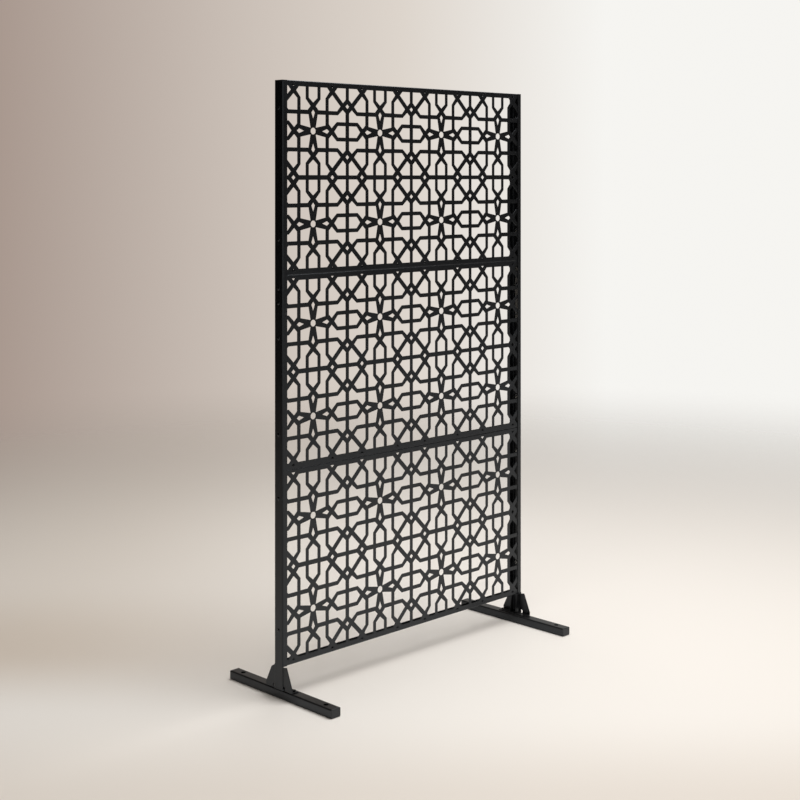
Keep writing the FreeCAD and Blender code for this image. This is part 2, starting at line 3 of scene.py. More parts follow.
import bmesh
import bpy
import numpy as np
from bpy.props import FloatProperty, FloatVectorProperty, PointerProperty
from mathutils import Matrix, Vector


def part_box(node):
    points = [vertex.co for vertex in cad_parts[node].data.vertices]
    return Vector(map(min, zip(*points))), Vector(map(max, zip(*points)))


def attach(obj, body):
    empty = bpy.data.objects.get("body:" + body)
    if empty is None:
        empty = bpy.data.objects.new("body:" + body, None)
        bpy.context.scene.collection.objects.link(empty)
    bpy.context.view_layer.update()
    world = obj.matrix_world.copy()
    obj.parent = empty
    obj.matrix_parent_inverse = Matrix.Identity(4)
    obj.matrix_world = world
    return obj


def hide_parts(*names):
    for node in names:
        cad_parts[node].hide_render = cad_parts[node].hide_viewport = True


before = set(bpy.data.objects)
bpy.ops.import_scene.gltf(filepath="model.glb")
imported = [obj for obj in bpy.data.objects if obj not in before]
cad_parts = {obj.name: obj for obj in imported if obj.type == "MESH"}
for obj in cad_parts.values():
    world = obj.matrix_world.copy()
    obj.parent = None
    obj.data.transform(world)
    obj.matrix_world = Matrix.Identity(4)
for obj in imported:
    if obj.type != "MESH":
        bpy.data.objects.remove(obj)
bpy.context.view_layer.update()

# A free-standing metal privacy screen: the looks of its panels, posts, feet and fasteners.
# Metres. +X runs along the screen, +Y to its back, +Z up, with the origin on the floor.

bl_info = {
    "name": "Metal privacy screen",
    "version": (1, 0, 0),
    "blender": (4, 5, 0),
    "location": "3D View > Sidebar > Privacy screen",
    "description": "Dresses a fretwork privacy screen in powder coat, with its folds, screws and welds",
    "category": "Object",
}

SIDES = (("left", -1), ("right", 1))
PANELS = ("panel_bottom", "panel_middle", "panel_top")
AXES = {"x": 0, "y": 1, "z": 2}

# How near points are joined and edges lie on a line, and the turn from one face to the next at
# edges that count as flat, sharp, shaded sharp and coated.
JOIN_DISTANCE = 1e-5
LINE_DISTANCE = 2e-5
FLAT_TURN = math.radians(1)
SHARP_TURN = math.radians(30)
SMOOTH_TURN = math.radians(40)
EDGE_TURN = math.radians(50)

# How far from a fold the clear strip beside it reaches, and where a fold starts, in its radii.
STRIP_REACH = 1.5
FOLD_START = 1.25

# How many faces go round a fold of each kind and round a coated edge, and how far the larger
# faces lead the shading.
FOLD_SEGMENTS = 4
PANEL_SEGMENTS = 2
BRACKET_SEGMENTS = 3
CAP_SEGMENTS = 5
COAT_SEGMENTS = 2
FLAT_WEIGHT = 100

# The fasteners as they are built: the plain heads and shanks of the screws, and the nuts.
SCREW_HEAD_HEIGHT = 0.0024
SCREW_HEAD_RADIUS = 0.0058
SCREW_RADIUS = 0.003
NUT_WIDTH = 0.0095
NUT_BORE = 0.0031

# Rings of points in a fastener, and the shares and angles of its forms.
RING_SIDES = 36
HEAD_RINGS = 9
RINGS_PER_THREAD = 6
RIM_SHARE = 0.12
SOCKET_CHAMFER_SHARE = 0.08
SOCKET_CENTRE_SHARE = 0.3
SOCKET_MARGIN = 1.08
NUT_FACE_SHARE = 0.97
COUNTERSINK_SHARE = 0.12
NUT_CHAMFER = math.radians(30)

# Welds: stitches up each edge, points round a bead and along a ripple, and how much of the bead's
# radius a ripple takes and its very ends keep.
STITCHES = 2
BEAD_SIDES = 12
RIPPLE_POINTS = 6
RIPPLE_SHARE = 0.22
BEAD_TIP_SHARE = 0.01

# The coats' noises, each with its detail and roughness, and how large the slow ones are.
FINE_NOISE = (2.0, 0.55)
PEEL_NOISE = (1.0, 0.5)
DRIFT_NOISE = (3.0, 0.6)
PATCH_NOISE = (5.0, 0.65)
PEEL_PER_GRAIN = 9
DRIFTS_PER_METRE = 3.1
PATCH_SIZE = 0.05
HEIGHT_FINE_SHARE = 0.7
TONE_FINE_SHARE = 0.55

# How far up a face looks where it begins to count as level, and the ranges of the masks: from
# where to where they go, and the values they give there.
LEVEL_START = 0.35
PATCH_RANGE = (0.3, 0.75, 0.25, 1.0)
COAT_TONE_RANGE = (0.25, 0.75, 0.0, 1.0)
STEEL_TONE_RANGE = (0.3, 0.7, 0.0, 1.0)
GLOSS_TONES = (0.2, 0.8)

# The coat: its dark and pale grains beside its colour, how much glossier and duller they are, how
# flat the screws' coat and how fine the caps' is beside it, how much dust lies on the sheets and on
# the feet, and the share of its shine that a level face loses to a whole share of dust.
DARK_GRAIN_SHARE = 0.72
PALE_GRAIN_SHARE = 1.3
SMOOTH_SHARE = 1 / 3
MOULDED_SHARE = 1 / 2
GLOSSIER = 0.07
DULLER = 0.1
COAT_BUMP = 0.7
COAT_SPECULAR = 0.5
BOLT_SPECULAR = 0.2
SHEET_DUST = 0.02
FOOT_DUST = 0.05
DULLED_PER_DUST = 8.2

# The zinc plate's crystals, their darkest tone, their gloss and their height.
CRYSTAL_SIZE = 0.0016
CRYSTAL_DRIFT = 0.012
DARK_CRYSTAL_SHARE = 0.7
STEEL_ROUGHNESS = (0.26, 0.44)
STEEL_BUMP = 0.25
CRYSTAL_HEIGHT = 0.00003

# The backdrop: where each side's colour stands on the way from left to right, where the part
# behind the camera gives way to it, and where the ceiling starts and ends.
DARK_STOP = 0.36
MIDDLE_STOP = 0.5
BRIGHT_STOP = 0.57
BEHIND_RANGE = (0.25, 0.75, 0.0, 1.0)
CEILING_START = 0.13
CEILING_END = 0.26

# The floor's painted shadow and shade: from where to where each range goes, in metres to the right of
# the screen's middle or behind it, and the painted shade there.
LEFT_RANGE = (-1.5, 0.2, 1.0, 0.0)
NEAR_FEET_RANGE = (-0.55, 0.05, 0.0, 1.0)
FAR_FEET_RANGE = (0.1, 0.9, 1.0, 0.55)
CAMERA_SIDE_RANGE = (-1.2, -0.5, 0.5, 0.0)

# The floor's form and gloss, and the camera's frame in millimetres.
FLOOR_SIDES = 96
FLOOR_RINGS = (2.0, 0.5)
FLOOR_DROP = 0.0002
FLOOR_ROUGHNESS = 0.7
FLOOR_SPECULAR = 0.2
FRAME_WIDTH = 36


def length(name, words, default):
    """A size in metres that a user may change."""
    return FloatProperty(name=name, description=words, default=default, min=0, precision=5,
                         subtype="DISTANCE", unit="LENGTH")


def place(name, words, default):
    """A point in metres that a user may change."""
    return FloatVectorProperty(name=name, description=words, default=default, size=3,
                               subtype="TRANSLATION", unit="LENGTH")


def colour(name, words, default):
    """A colour that a user may change."""
    return FloatVectorProperty(name=name, description=words, default=default, size=3, min=0, max=1,
                               subtype="COLOR")


def share(name, words, default):
    """A share from none to all."""
    return FloatProperty(name=name, description=words, default=default, min=0, max=1, subtype="FACTOR")


class ScreenSizes(bpy.types.PropertyGroup):
    """Radii, welds and screw forms that the construction leaves to the finish."""

    sheet: length("Panel sheet", "Thickness of the panels' sheet", 0.0012)
    post_sheet: length("Post sheet", "Thickness of the posts' sheet", 0.0015)
    panel_fold: length("Panel fold", "Outer radius of the panels' folds", 0.0022)
    post_fold: length("Post fold", "Outer radius of the posts' folds", 0.0040)
    tube_sheet: length("Foot bar sheet", "Thickness of the foot bars' wall", 0.0015)
    tube_corner: length("Foot bar corner", "Outer radius of the foot bars' corners", 0.0042)
    cap_corner: length("Cap corner", "Radius of the end caps' edges", 0.0026)
    bracket_fold: length("Bracket fold", "Outer radius of the brackets' folds", 0.0013)
    stiffener_sheet: length("Stiffener sheet", "Thickness of the stiffeners' sheet", 0.0015)
    stiffener_fold: length("Stiffener fold", "Outer radius of the stiffeners' folds", 0.0024)
    cut_corner: length("Opening corner", "Radius in the corners of the cut openings", 0.0009)
    coat_edge: length("Coated edge", "Radius that the coat leaves on a cut edge", 0.00028)
    plate_edge: length("Plate edge", "Radius on the edges of the thick plates", 0.0006)
    socket_width: length("Socket width", "Across the flats of a screw's socket", 0.003)
    bolt_socket_width: length("Bolt socket width", "Across the flats of a foot bolt's socket", 0.005)
    socket_depth: length("Socket depth", "Depth of a screw's socket", 0.0015)
    thread_pitch: length("Thread pitch", "Distance from one thread to the next", 0.001)
    thread_depth: length("Thread depth", "Depth of a thread", 0.0004)
    bolt_head_radius: length("Bolt head radius", "Half the width of a foot bolt's head", 0.0050)
    bolt_head_height: length("Bolt head height", "A foot bolt's head above its seat", 0.0042)
    shoulder_rise: length("Shoulder rise", "How much higher a bracket's front shoulder stands", 0.0095)
    weld_radius: length("Weld radius", "Half the width of a weld bead", 0.0014)
    weld_length: length("Weld length", "Length of one stitch of weld", 0.018)
    weld_ripple: length("Weld ripple", "Distance from one ripple of a weld to the next", 0.0013)


class ScreenFinish(bpy.types.PropertyGroup):
    """Colours and textures of the coats."""

    panel_colour: colour("Panel coat", "Powder coat of the panels", (0.0040, 0.0040, 0.0043))
    post_colour: colour("Post coat", "Powder coat of the posts", (0.0040, 0.0040, 0.0043))
    foot_colour: colour("Foot coat", "Powder coat of the feet and brackets", (0.0045, 0.0045, 0.0048))
    screw_colour: colour("Screw coat", "Black coat of the screws and bolts", (0.0040, 0.0040, 0.0042))
    cap_colour: colour("Cap plastic", "Moulded plastic of the end caps", (0.0170, 0.0170, 0.0172))
    steel_colour: colour("Plated steel", "Zinc plate of the nuts and splice plates", (0.56, 0.56, 0.54))
    sheen: colour("Sheen", "Cool tint of the coat's reflections", (0.82, 0.90, 1.0))
    dust_colour: colour("Dust", "Fine dust that settles on level faces", (0.23, 0.21, 0.19))
    grain: length("Coat grain", "Size of the grains in the coat's fine texture", 0.0007)
    grain_height: length("Grain height", "Height of the coat's grains", 0.00005)
    coat_roughness: share("Coat roughness", "Roughness of the powder coat", 0.31)
    screw_roughness: share("Screw roughness", "Roughness of the screws' coat", 0.22)
    cap_roughness: share("Cap roughness", "Roughness of the end caps", 0.42)


class ScreenStage(bpy.types.PropertyGroup):
    """The camera, the light and the floor."""

    camera_place: place("Camera", "Where the camera stands", (-3.463, -3.4585, 1.630))
    heading: FloatProperty(
        name="Heading", description="How far the camera is turned to its right",
        default=math.radians(44.734), subtype="ANGLE", unit="ROTATION")
    lens: FloatProperty(
        name="Lens", description="Focal length on a 36 mm frame, in millimetres", default=64.8)
    shift: FloatProperty(
        name="Vertical shift", description="Lens shift that frames the screen with its posts upright",
        default=-0.2799)
    floor_radius: length("Floor radius", "Where the floor has faded out", 6.6)
    floor_fade: length("Floor fade", "Where the floor begins to fade out", 1.8)
    floor_colour: colour("Floor", "Pale floor", (0.82, 0.78, 0.73))
    # The floor's colour where its painted shadow is darkest.
    floor_shadow: colour("Floor shade", "Floor where it is dimmest", (0.64, 0.56, 0.48))
    ceiling_share: share("Ceiling", "Brightness of the ceiling beside that of the backdrop", 0.65)
    dark_side: colour("Dark side", "Backdrop on the shaded side", (0.38, 0.30, 0.26))
    middle_side: colour("Middle", "Backdrop behind the screen", (0.72, 0.66, 0.60))
    bright_side: colour("Bright side", "Backdrop on the lit side", (0.92, 0.91, 0.88))
    back_side: colour("Back", "Backdrop behind the camera", (0.62, 0.60, 0.57))
    left_flag: colour("Left card", "Dark card that shades the screen's left", (0.006, 0.006, 0.006))
    right_flag: colour("Right card", "Dark card that shades the screen's front", (0.14, 0.14, 0.14))
    left_distance: length("Left card distance", "From the screen to the left card", 4.0)
    right_distance: length("Right card distance", "From the screen to the right card", 7.2)
    flag_width: length("Card width", "Width of a dark card", 10.0)
    flag_height: length("Card height", "Height of a dark card", 6.0)
    top_place: place("Top light place", "Where the overhead light hangs", (0.7, -0.7, 4.2))
    top_size: length("Top light size", "Width of the overhead light", 3.0)
    top_power: FloatProperty(
        name="Top light", description="Power of the overhead light", default=180, unit="POWER")


def sizes():
    """The sizes that the user has set."""
    return bpy.context.scene.screen_sizes


def finish():
    """The finishes that the user has set."""
    return bpy.context.scene.screen_finish


# Mesh work.

def read(items, name, width, kind=np.float64):
    """One attribute of every item of a mesh, as an array with so many numbers in a row."""
    values = np.empty(len(items) * width, kind)
    items.foreach_get(name, values)
    return values.reshape(-1, width) if width > 1 else values


def part(work, axis, height):
    """Parts a mesh's faces and edges where they cross one height on an axis."""
    normal = [0, 0, 0]
    normal[AXES[axis]] = 1
    bmesh.ops.bisect_plane(work, geom=work.verts[:] + work.edges[:] + work.faces[:], dist=JOIN_DISTANCE,
                           plane_co=[height * step for step in normal], plane_no=normal)


def clear_strip(work, axis, outline, cut):
    """Makes every flat face whole between its outline and a cut beside it.

    The mesh is parted at the cut. The edges between the two that lie inside a flat face are taken
    out, so that a rounded fold on the outline meets no stray edge."""
    part(work, axis, cut)
    low, high = min(outline, cut) - LINE_DISTANCE, max(outline, cut) + LINE_DISTANCE
    spare = []
    for edge in work.edges:
        first, second = (point.co[AXES[axis]] for point in edge.verts)
        crosses = abs(first - second) > LINE_DISTANCE
        if crosses and low < min(first, second) and max(first, second) < high and edge.is_manifold:
            if edge.calc_face_angle() < FLAT_TURN:
                spare.append(edge)
    bmesh.ops.dissolve_edges(work, edges=spare)


def merged_mesh(node):
    """A node's mesh with its loose triangles joined, for more work."""
    work = bmesh.new()
    work.from_mesh(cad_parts[node].data)
    bmesh.ops.remove_doubles(work, verts=work.verts, dist=JOIN_DISTANCE)
    return work


def whole_copy(node, strips=(), cut=None):
    """A copy of a node's mesh, with its loose triangles joined and its flat faces made whole.

    A strip is an axis, the place of a fold on it and the place of a cut beside that fold. The last
    cut is a height at which the long edges are parted in two."""
    mesh = bpy.data.meshes.new(node)
    work = merged_mesh(node)
    bmesh.ops.dissolve_limit(work, angle_limit=FLAT_TURN, verts=work.verts, edges=work.edges)
    for strip in strips:
        clear_strip(work, *strip)
    if cut is not None:
        part(work, "z", cut)
    work.to_mesh(mesh)
    work.free()
    return mesh


def edge_ends(mesh):
    """Both ends of every edge, as an array of edges by two by three."""
    spots = read(mesh.vertices, "co", 3)
    return spots[read(mesh.edges, "vertices", 2, np.int32)]


def edge_turns(mesh):
    """The turn from one face to the next at every edge.

    Each edge of a closed mesh has two loops, so the loops sorted by edge pair its two faces, and
    the turn is the angle between their normals."""
    edge_of_loop = read(mesh.loops, "edge_index", 1, np.int32)
    loops_of_face = read(mesh.polygons, "loop_total", 1, np.int32)
    face_of_loop = np.repeat(np.arange(len(mesh.polygons)), loops_of_face)
    pairs = face_of_loop[np.argsort(edge_of_loop, kind="stable")].reshape(-1, 2)
    normals = read(mesh.polygons, "normal", 3)
    return np.arccos(np.clip((normals[pairs[:, 0]] * normals[pairs[:, 1]]).sum(axis=1), -1, 1))


def on_line(ends, places):
    """Which edges lie on a straight line, given as its place along each axis that it crosses.

    A place named above is a height that the edges also start over."""
    found = np.ones(len(ends), bool)
    for axis, spot in places.items():
        if axis == "above":
            found &= (ends[:, :, AXES["z"]] > spot - LINE_DISTANCE).all(axis=1)
        else:
            found &= (np.abs(ends[:, :, AXES[axis]] - spot) < LINE_DISTANCE).all(axis=1)
    return found


def bevel(piece, name, width, segments, method):
    """A Bevel modifier on a piece that doesn't narrow where edges are close."""
    modifier = piece.modifiers.new(name, "BEVEL")
    modifier.width = width
    modifier.segments = segments
    modifier.limit_method = method
    modifier.use_clamp_overlap = False
    return modifier


def rounded(piece, mesh, edge_radius, lines=(), corner=None, segments=FOLD_SEGMENTS):
    """Rounds a piece's edges, and keeps the shading of its flat faces flat.

    Each edge on a listed line gets that line's radius, and with a corner each edge that runs straight
    through the sheet gets the corner radius. One Bevel modifier makes them, in which an edge's weight
    is its radius as a share of the largest one. It makes a fretwork sheet's other sharp edges as well;
    elsewhere a second Bevel makes those, so that a fold keeps its full radius up to its ends."""
    ends = edge_ends(mesh)
    radii = np.zeros(len(ends))
    if corner:
        sharp = edge_turns(mesh) > SHARP_TURN
        radii[sharp] = edge_radius
        axis, radius, inside = corner
        others = [number for name, number in AXES.items() if name != axis]
        through = (np.abs(ends[:, 0, others] - ends[:, 1, others]) < LINE_DISTANCE).all(axis=1)
        for other, low, high in inside:
            through &= ((ends[:, :, AXES[other]] > low) & (ends[:, :, AXES[other]] < high)).all(axis=1)
        radii[through & sharp] = radius
    for places, radius in lines:
        radii[on_line(ends, places)] = radius
    if radii.any():
        weights = mesh.attributes.new("bevel_weight_edge", "FLOAT", "EDGE")
        weights.data.foreach_set("value", (radii / radii.max()).astype(np.float32))
        bevel(piece, "rounded_folds", radii.max(), segments, "WEIGHT")
    if not corner:
        bevel(piece, "coated_edges", edge_radius, COAT_SEGMENTS, "ANGLE").angle_limit = EDGE_TURN
    flat = piece.modifiers.new("flat_faces", "WEIGHTED_NORMAL")
    flat.mode = "FACE_AREA"
    flat.weight = FLAT_WEIGHT
    mesh.polygons.foreach_set("use_smooth", np.ones(len(mesh.polygons), bool))


def grid_faces(rings, sides, joined_ends):
    """Four-sided faces between rings of points, each ring closed on itself.

    A point's number is its ring times the sides plus its place in the ring. The last ring is
    joined to the first where the ends are joined, and otherwise each end gets one flat face, the
    first ring's and then the last one's."""
    lower_rings = np.arange(rings if joined_ends else rings - 1)
    below, side = np.meshgrid(lower_rings, np.arange(sides), indexing="ij")
    following = (side + 1) % sides
    above = (below + 1) % rings
    quads = np.stack([below * sides + side, below * sides + following, above * sides + following,
                      above * sides + side], axis=-1)
    faces = quads.reshape(-1, 4).tolist()
    if not joined_ends:
        faces.append(list(range(sides))[::-1])
        faces.append(list(range((rings - 1) * sides, rings * sides)))
    return faces


def grid_mesh(name, grids, joined_ends=False):
    """One mesh of several grids of points, each rings by sides by three, with faces pointing outwards."""
    points = []
    faces = []
    count = 0
    for grid in grids:
        rings, sides = grid.shape[:2]
        faces += [[number + count for number in face] for face in grid_faces(rings, sides, joined_ends)]
        points.append(grid.reshape(-1, 3))
        count += rings * sides
    mesh = bpy.data.meshes.new(name)
    mesh.from_pydata(np.concatenate(points).tolist(), [], faces)
    mesh.validate()
    work = bmesh.new()
    work.from_mesh(mesh)
    bmesh.ops.recalc_face_normals(work, faces=work.faces)
    work.to_mesh(mesh)
    work.free()
    mesh.polygons.foreach_set("use_smooth", np.ones(len(mesh.polygons), bool))
    mesh.set_sharp_from_angle(angle=SMOOTH_TURN)
    return mesh


def linked(name, data):
    """A new object in the scene."""
    item = bpy.data.objects.new(name, data)
    bpy.context.scene.collection.objects.link(item)
    return item


def new_piece(name, mesh, material, replaced=()):
    """A finished mesh as a piece of the screen, which is one body."""
    piece = linked(name, mesh)
    mesh.materials.clear()
    mesh.materials.append(material)
    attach(piece, "root")
    if replaced:
        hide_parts(*replaced)
    return piece


def dressed(node, slot, strips=(), cut=None):
    """A piece that takes a node's place, made from its merged mesh, and that mesh."""
    mesh = whole_copy(node, strips, cut)
    return new_piece("coated_" + node, mesh, slot_material(slot), [node]), mesh


# Materials.

def new_group(name, inputs, outputs):
    """An empty shader node group with number inputs, each with its usual value, and named outputs."""
    tree = bpy.data.node_groups.new(name, "ShaderNodeTree")
    for label, value in inputs.items():
        socket = tree.interface.new_socket(label, in_out="INPUT", socket_type="NodeSocketFloat")
        socket.default_value = value
    for label in outputs:
        tree.interface.new_socket(label, in_out="OUTPUT", socket_type="NodeSocketFloat")
    entry = tree.nodes.new("NodeGroupInput")
    leave = tree.nodes.new("NodeGroupOutput")
    return tree, entry, leave


def feed(tree, socket, value):
    """Gives an input socket its value: another socket, a number or a colour."""
    if isinstance(value, bpy.types.NodeSocket):
        tree.links.new(value, socket)
    else:
        socket.default_value = value


def math_node(tree, operation, first, second):
    """A Math node whose two operands are sockets or numbers, and its output."""
    step = tree.nodes.new("ShaderNodeMath")
    step.operation = operation
    feed(tree, step.inputs[0], first)
    feed(tree, step.inputs[1], second)
    return step.outputs[0]


def blend(tree, first, second, first_share):
    """The sum of a share of one value and the rest of another."""
    most = math_node(tree, "MULTIPLY", first, first_share)
    rest = math_node(tree, "MULTIPLY", second, 1 - first_share)
    return math_node(tree, "ADD", most, rest)


def noise_node(tree, point, scale, detail, roughness):
    """A Noise Texture on a vector, and its value."""
    noise = tree.nodes.new("ShaderNodeTexNoise")
    feed(tree, noise.inputs["Vector"], point)
    feed(tree, noise.inputs["Scale"], scale)
    feed(tree, noise.inputs["Detail"], detail)
    feed(tree, noise.inputs["Roughness"], roughness)
    return noise.outputs["Fac"]


def sized_noise(tree, point, size, noise):
    """A noise on a vector whose grains have the size that a socket gives."""
    return noise_node(tree, point, math_node(tree, "DIVIDE", 1.0, size), *noise)


def range_node(tree, value, low, high, to_low, to_high, curve="SMOOTHSTEP"):
    """A Map Range node that keeps within its range, and its output."""
    step = tree.nodes.new("ShaderNodeMapRange")
    step.interpolation_type = curve
    tree.links.new(value, step.inputs["Value"])
    for label, number in (("From Min", low), ("From Max", high), ("To Min", to_low), ("To Max", to_high)):
        step.inputs[label].default_value = number
    return step.outputs["Result"]


def facing_up(tree):
    """How far each face looks up, as the height of its normal."""
    upright = tree.nodes.new("ShaderNodeSeparateXYZ")
    tree.links.new(tree.nodes.new("ShaderNodeNewGeometry").outputs["Normal"], upright.inputs[0])
    return upright.outputs["Z"]


def mix_colour(tree, factor, first, second):
    """A Mix node between two colours, each a socket or three numbers, and its output."""
    mix = tree.nodes.new("ShaderNodeMix")
    mix.data_type = "RGBA"
    tree.links.new(factor, mix.inputs["Factor"])
    for socket, value in ((mix.inputs[6], first), (mix.inputs[7], second)):
        feed(tree, socket, value if isinstance(value, bpy.types.NodeSocket) else (*value, 1))
    return mix.outputs[2]


def coat_grain_group():
    """The fine texture of a baked coat: packed grains on a slow, shallow orange peel.

    Height is seven parts of fine noise to three of coarse. Tone is the same fine noise drawn
    towards its middle, with a slow drift from one part of a sheet to the next."""
    usual = {"Grain Size": finish().grain, "Peel Size": finish().grain * PEEL_PER_GRAIN}
    tree, entry, leave = new_group("coat_grain", usual, ("Height", "Tone"))
    point = tree.nodes.new("ShaderNodeTexCoord").outputs["Object"]
    fine = sized_noise(tree, point, entry.outputs["Grain Size"], FINE_NOISE)
    peel = sized_noise(tree, point, entry.outputs["Peel Size"], PEEL_NOISE)
    drift = noise_node(tree, point, DRIFTS_PER_METRE, *DRIFT_NOISE)
    tree.links.new(blend(tree, fine, peel, HEIGHT_FINE_SHARE), leave.inputs["Height"])
    tree.links.new(blend(tree, fine, drift, TONE_FINE_SHARE), leave.inputs["Tone"])


def settled_dust_group():
    """Where fine dust settles: on faces that look up, in soft patches.

    The mask is how far the face looks up, past a limit, times a blotchy noise and an amount."""
    usual = {"Amount": SHEET_DUST, "Patch Size": PATCH_SIZE}
    tree, entry, leave = new_group("settled_dust", usual, ("Mask",))
    point = tree.nodes.new("ShaderNodeTexCoord").outputs["Object"]
    level = range_node(tree, facing_up(tree), LEVEL_START, 1.0, 0.0, 1.0)
    blotch = sized_noise(tree, point, entry.outputs["Patch Size"], PATCH_NOISE)
    patches = range_node(tree, blotch, *PATCH_RANGE)
    lying = math_node(tree, "MULTIPLY", level, patches)
    tree.links.new(math_node(tree, "MULTIPLY", lying, entry.outputs["Amount"]), leave.inputs["Mask"])


def group_node(tree, group, **values):
    """A group placed in a material with its own values; an underscore stands for a space."""
    placed = tree.nodes.new("ShaderNodeGroup")
    placed.node_tree = bpy.data.node_groups[group]
    for label, value in values.items():
        placed.inputs[label.replace("_", " ")].default_value = value
    return placed


def blank_material(name):
    """A material with only its Principled shader, its nodes and that shader."""
    material = bpy.data.materials.new(name)
    material.use_nodes = True
    return material, material.node_tree, material.node_tree.nodes["Principled BSDF"]


def raised_grain(tree, shader, texture, strength, height):
    """Raises a shader's surface by its texture's height."""
    bump = tree.nodes.new("ShaderNodeBump")
    bump.inputs["Strength"].default_value = strength
    bump.inputs["Distance"].default_value = height
    tree.links.new(texture.outputs["Height"], bump.inputs["Height"])
    tree.links.new(bump.outputs["Normal"], shader.inputs["Normal"])


def scaled(tint, portion):
    """A colour with every channel at one portion of itself."""
    return [channel * portion for channel in tint]


def coat_material(name, tint, roughness, grain, height, dust, specular=COAT_SPECULAR):
    """A black coat with fine grains: its tone and gloss follow the grains. Where there is dust, it
    lies on level faces and dulls them."""
    material, tree, shader = blank_material(name)
    texture = group_node(tree, "coat_grain", Grain_Size=grain, Peel_Size=grain * PEEL_PER_GRAIN)
    tone = range_node(tree, texture.outputs["Tone"], *COAT_TONE_RANGE)
    tinted = mix_colour(tree, tone, scaled(tint, DARK_GRAIN_SHARE), scaled(tint, PALE_GRAIN_SHARE))
    gloss = range_node(tree, texture.outputs["Tone"], *GLOSS_TONES, roughness - GLOSSIER, roughness + DULLER)
    shader.inputs["Specular IOR Level"].default_value = specular
    shader.inputs["Specular Tint"].default_value = (*finish().sheen, 1)
    if dust:
        settled = group_node(tree, "settled_dust", Amount=dust, Patch_Size=PATCH_SIZE).outputs["Mask"]
        tinted = mix_colour(tree, settled, tinted, finish().dust_colour)
        gloss = math_node(tree, "ADD", gloss, settled)
        least = specular * (1 - dust * DULLED_PER_DUST)
        dulled = range_node(tree, facing_up(tree), LEVEL_START, 1.0, specular, least)
        tree.links.new(dulled, shader.inputs["Specular IOR Level"])
    tree.links.new(tinted, shader.inputs["Base Color"])
    tree.links.new(gloss, shader.inputs["Roughness"])
    raised_grain(tree, shader, texture, COAT_BUMP, height)
    return material


def steel_material(name, tint):
    """Bright zinc plate: a metal whose tone and gloss wander in small crystals."""
    material, tree, shader = blank_material(name)
    texture = group_node(tree, "coat_grain", Grain_Size=CRYSTAL_SIZE, Peel_Size=CRYSTAL_DRIFT)
    tone = range_node(tree, texture.outputs["Tone"], *STEEL_TONE_RANGE)
    tinted = mix_colour(tree, tone, scaled(tint, DARK_CRYSTAL_SHARE), tint)
    tree.links.new(tinted, shader.inputs["Base Color"])
    gloss = range_node(tree, texture.outputs["Tone"], *GLOSS_TONES, *STEEL_ROUGHNESS)
    tree.links.new(gloss, shader.inputs["Roughness"])
    shader.inputs["Metallic"].default_value = 1.0
    raised_grain(tree, shader, texture, STEEL_BUMP, CRYSTAL_HEIGHT)
    return material


def slot_material(slot):
    """The material of a slot, made when it is first asked for. The foot bolts share the screws'
    slot and have a duller look of their own."""
    name = "screen_" + slot
    if name in bpy.data.materials:
        return bpy.data.materials[name]
    if "coat_grain" not in bpy.data.node_groups:
        coat_grain_group()
        settled_dust_group()
    look = finish()
    if slot == "nut_steel":
        return steel_material(name, look.steel_colour)
    grains = (look.grain, look.grain_height)
    smooth = (look.grain, look.grain_height * SMOOTH_SHARE)
    moulded = (look.grain * MOULDED_SHARE, look.grain_height * SMOOTH_SHARE)
    coats = {
        "panel_coat": (look.panel_colour, look.coat_roughness, *grains, SHEET_DUST),
        "post_coat": (look.post_colour, look.coat_roughness, *grains, SHEET_DUST),
        "foot_coat": (look.foot_colour, look.coat_roughness, *grains, FOOT_DUST),
        "screw_coat": (look.screw_colour, look.screw_roughness, *smooth, SHEET_DUST),
        "bolt_black": (look.screw_colour, look.coat_roughness, *smooth, 0.0, BOLT_SPECULAR),
        "cap_plastic": (look.cap_colour, look.cap_roughness, *moulded, FOOT_DUST),
    }
    return coat_material(name, *coats[slot])


# Pieces.

def both_faces(node, axis):
    """The two faces of a node's box on an axis, each with its place and the way to its inside."""
    low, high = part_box(node)
    return (getattr(low, axis), 1), (getattr(high, axis), -1)


def outer_face(node, sign):
    """The face of a node's box that looks away from the screen's middle."""
    return both_faces(node, "x")[max(sign, 0)]


def fold(sheet, radius, **corner):
    """The outer and the inner line of a fold, each with its radius, which the sheet makes smaller inside.

    The corner has the fold's place on two axes, each with the way to the inside."""
    outer = {axis: spot for axis, (spot, inward) in corner.items()}
    inner = {axis: spot + inward * sheet for axis, (spot, inward) in corner.items()}
    return [(outer, radius), (inner, radius - sheet)]


def panel_lines(node):
    """The folds of a tray: along its top and bottom in front and behind, and up its sides in front."""
    front, back = both_faces(node, "y")
    lines = []
    for height in both_faces(node, "z"):
        for depth in (front, back):
            lines += fold(sizes().sheet, sizes().panel_fold, y=depth, z=height)
    for across in both_faces(node, "x"):
        lines += fold(sizes().sheet, sizes().panel_fold, x=across, y=front)
    return lines


def make_panels():
    """The three fretwork trays, with rounded folds and coated openings."""
    for node in PANELS:
        piece, mesh = dressed(node, "panel_coat")
        low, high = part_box(node)
        margin = sizes().panel_fold
        inside = (("x", low.x + margin, high.x - margin), ("y", low.y - margin, low.y + margin),
                  ("z", low.z + margin, high.z - margin))
        corner = ("y", sizes().cut_corner, inside)
        rounded(piece, mesh, sizes().coat_edge, panel_lines(node), corner, PANEL_SEGMENTS)


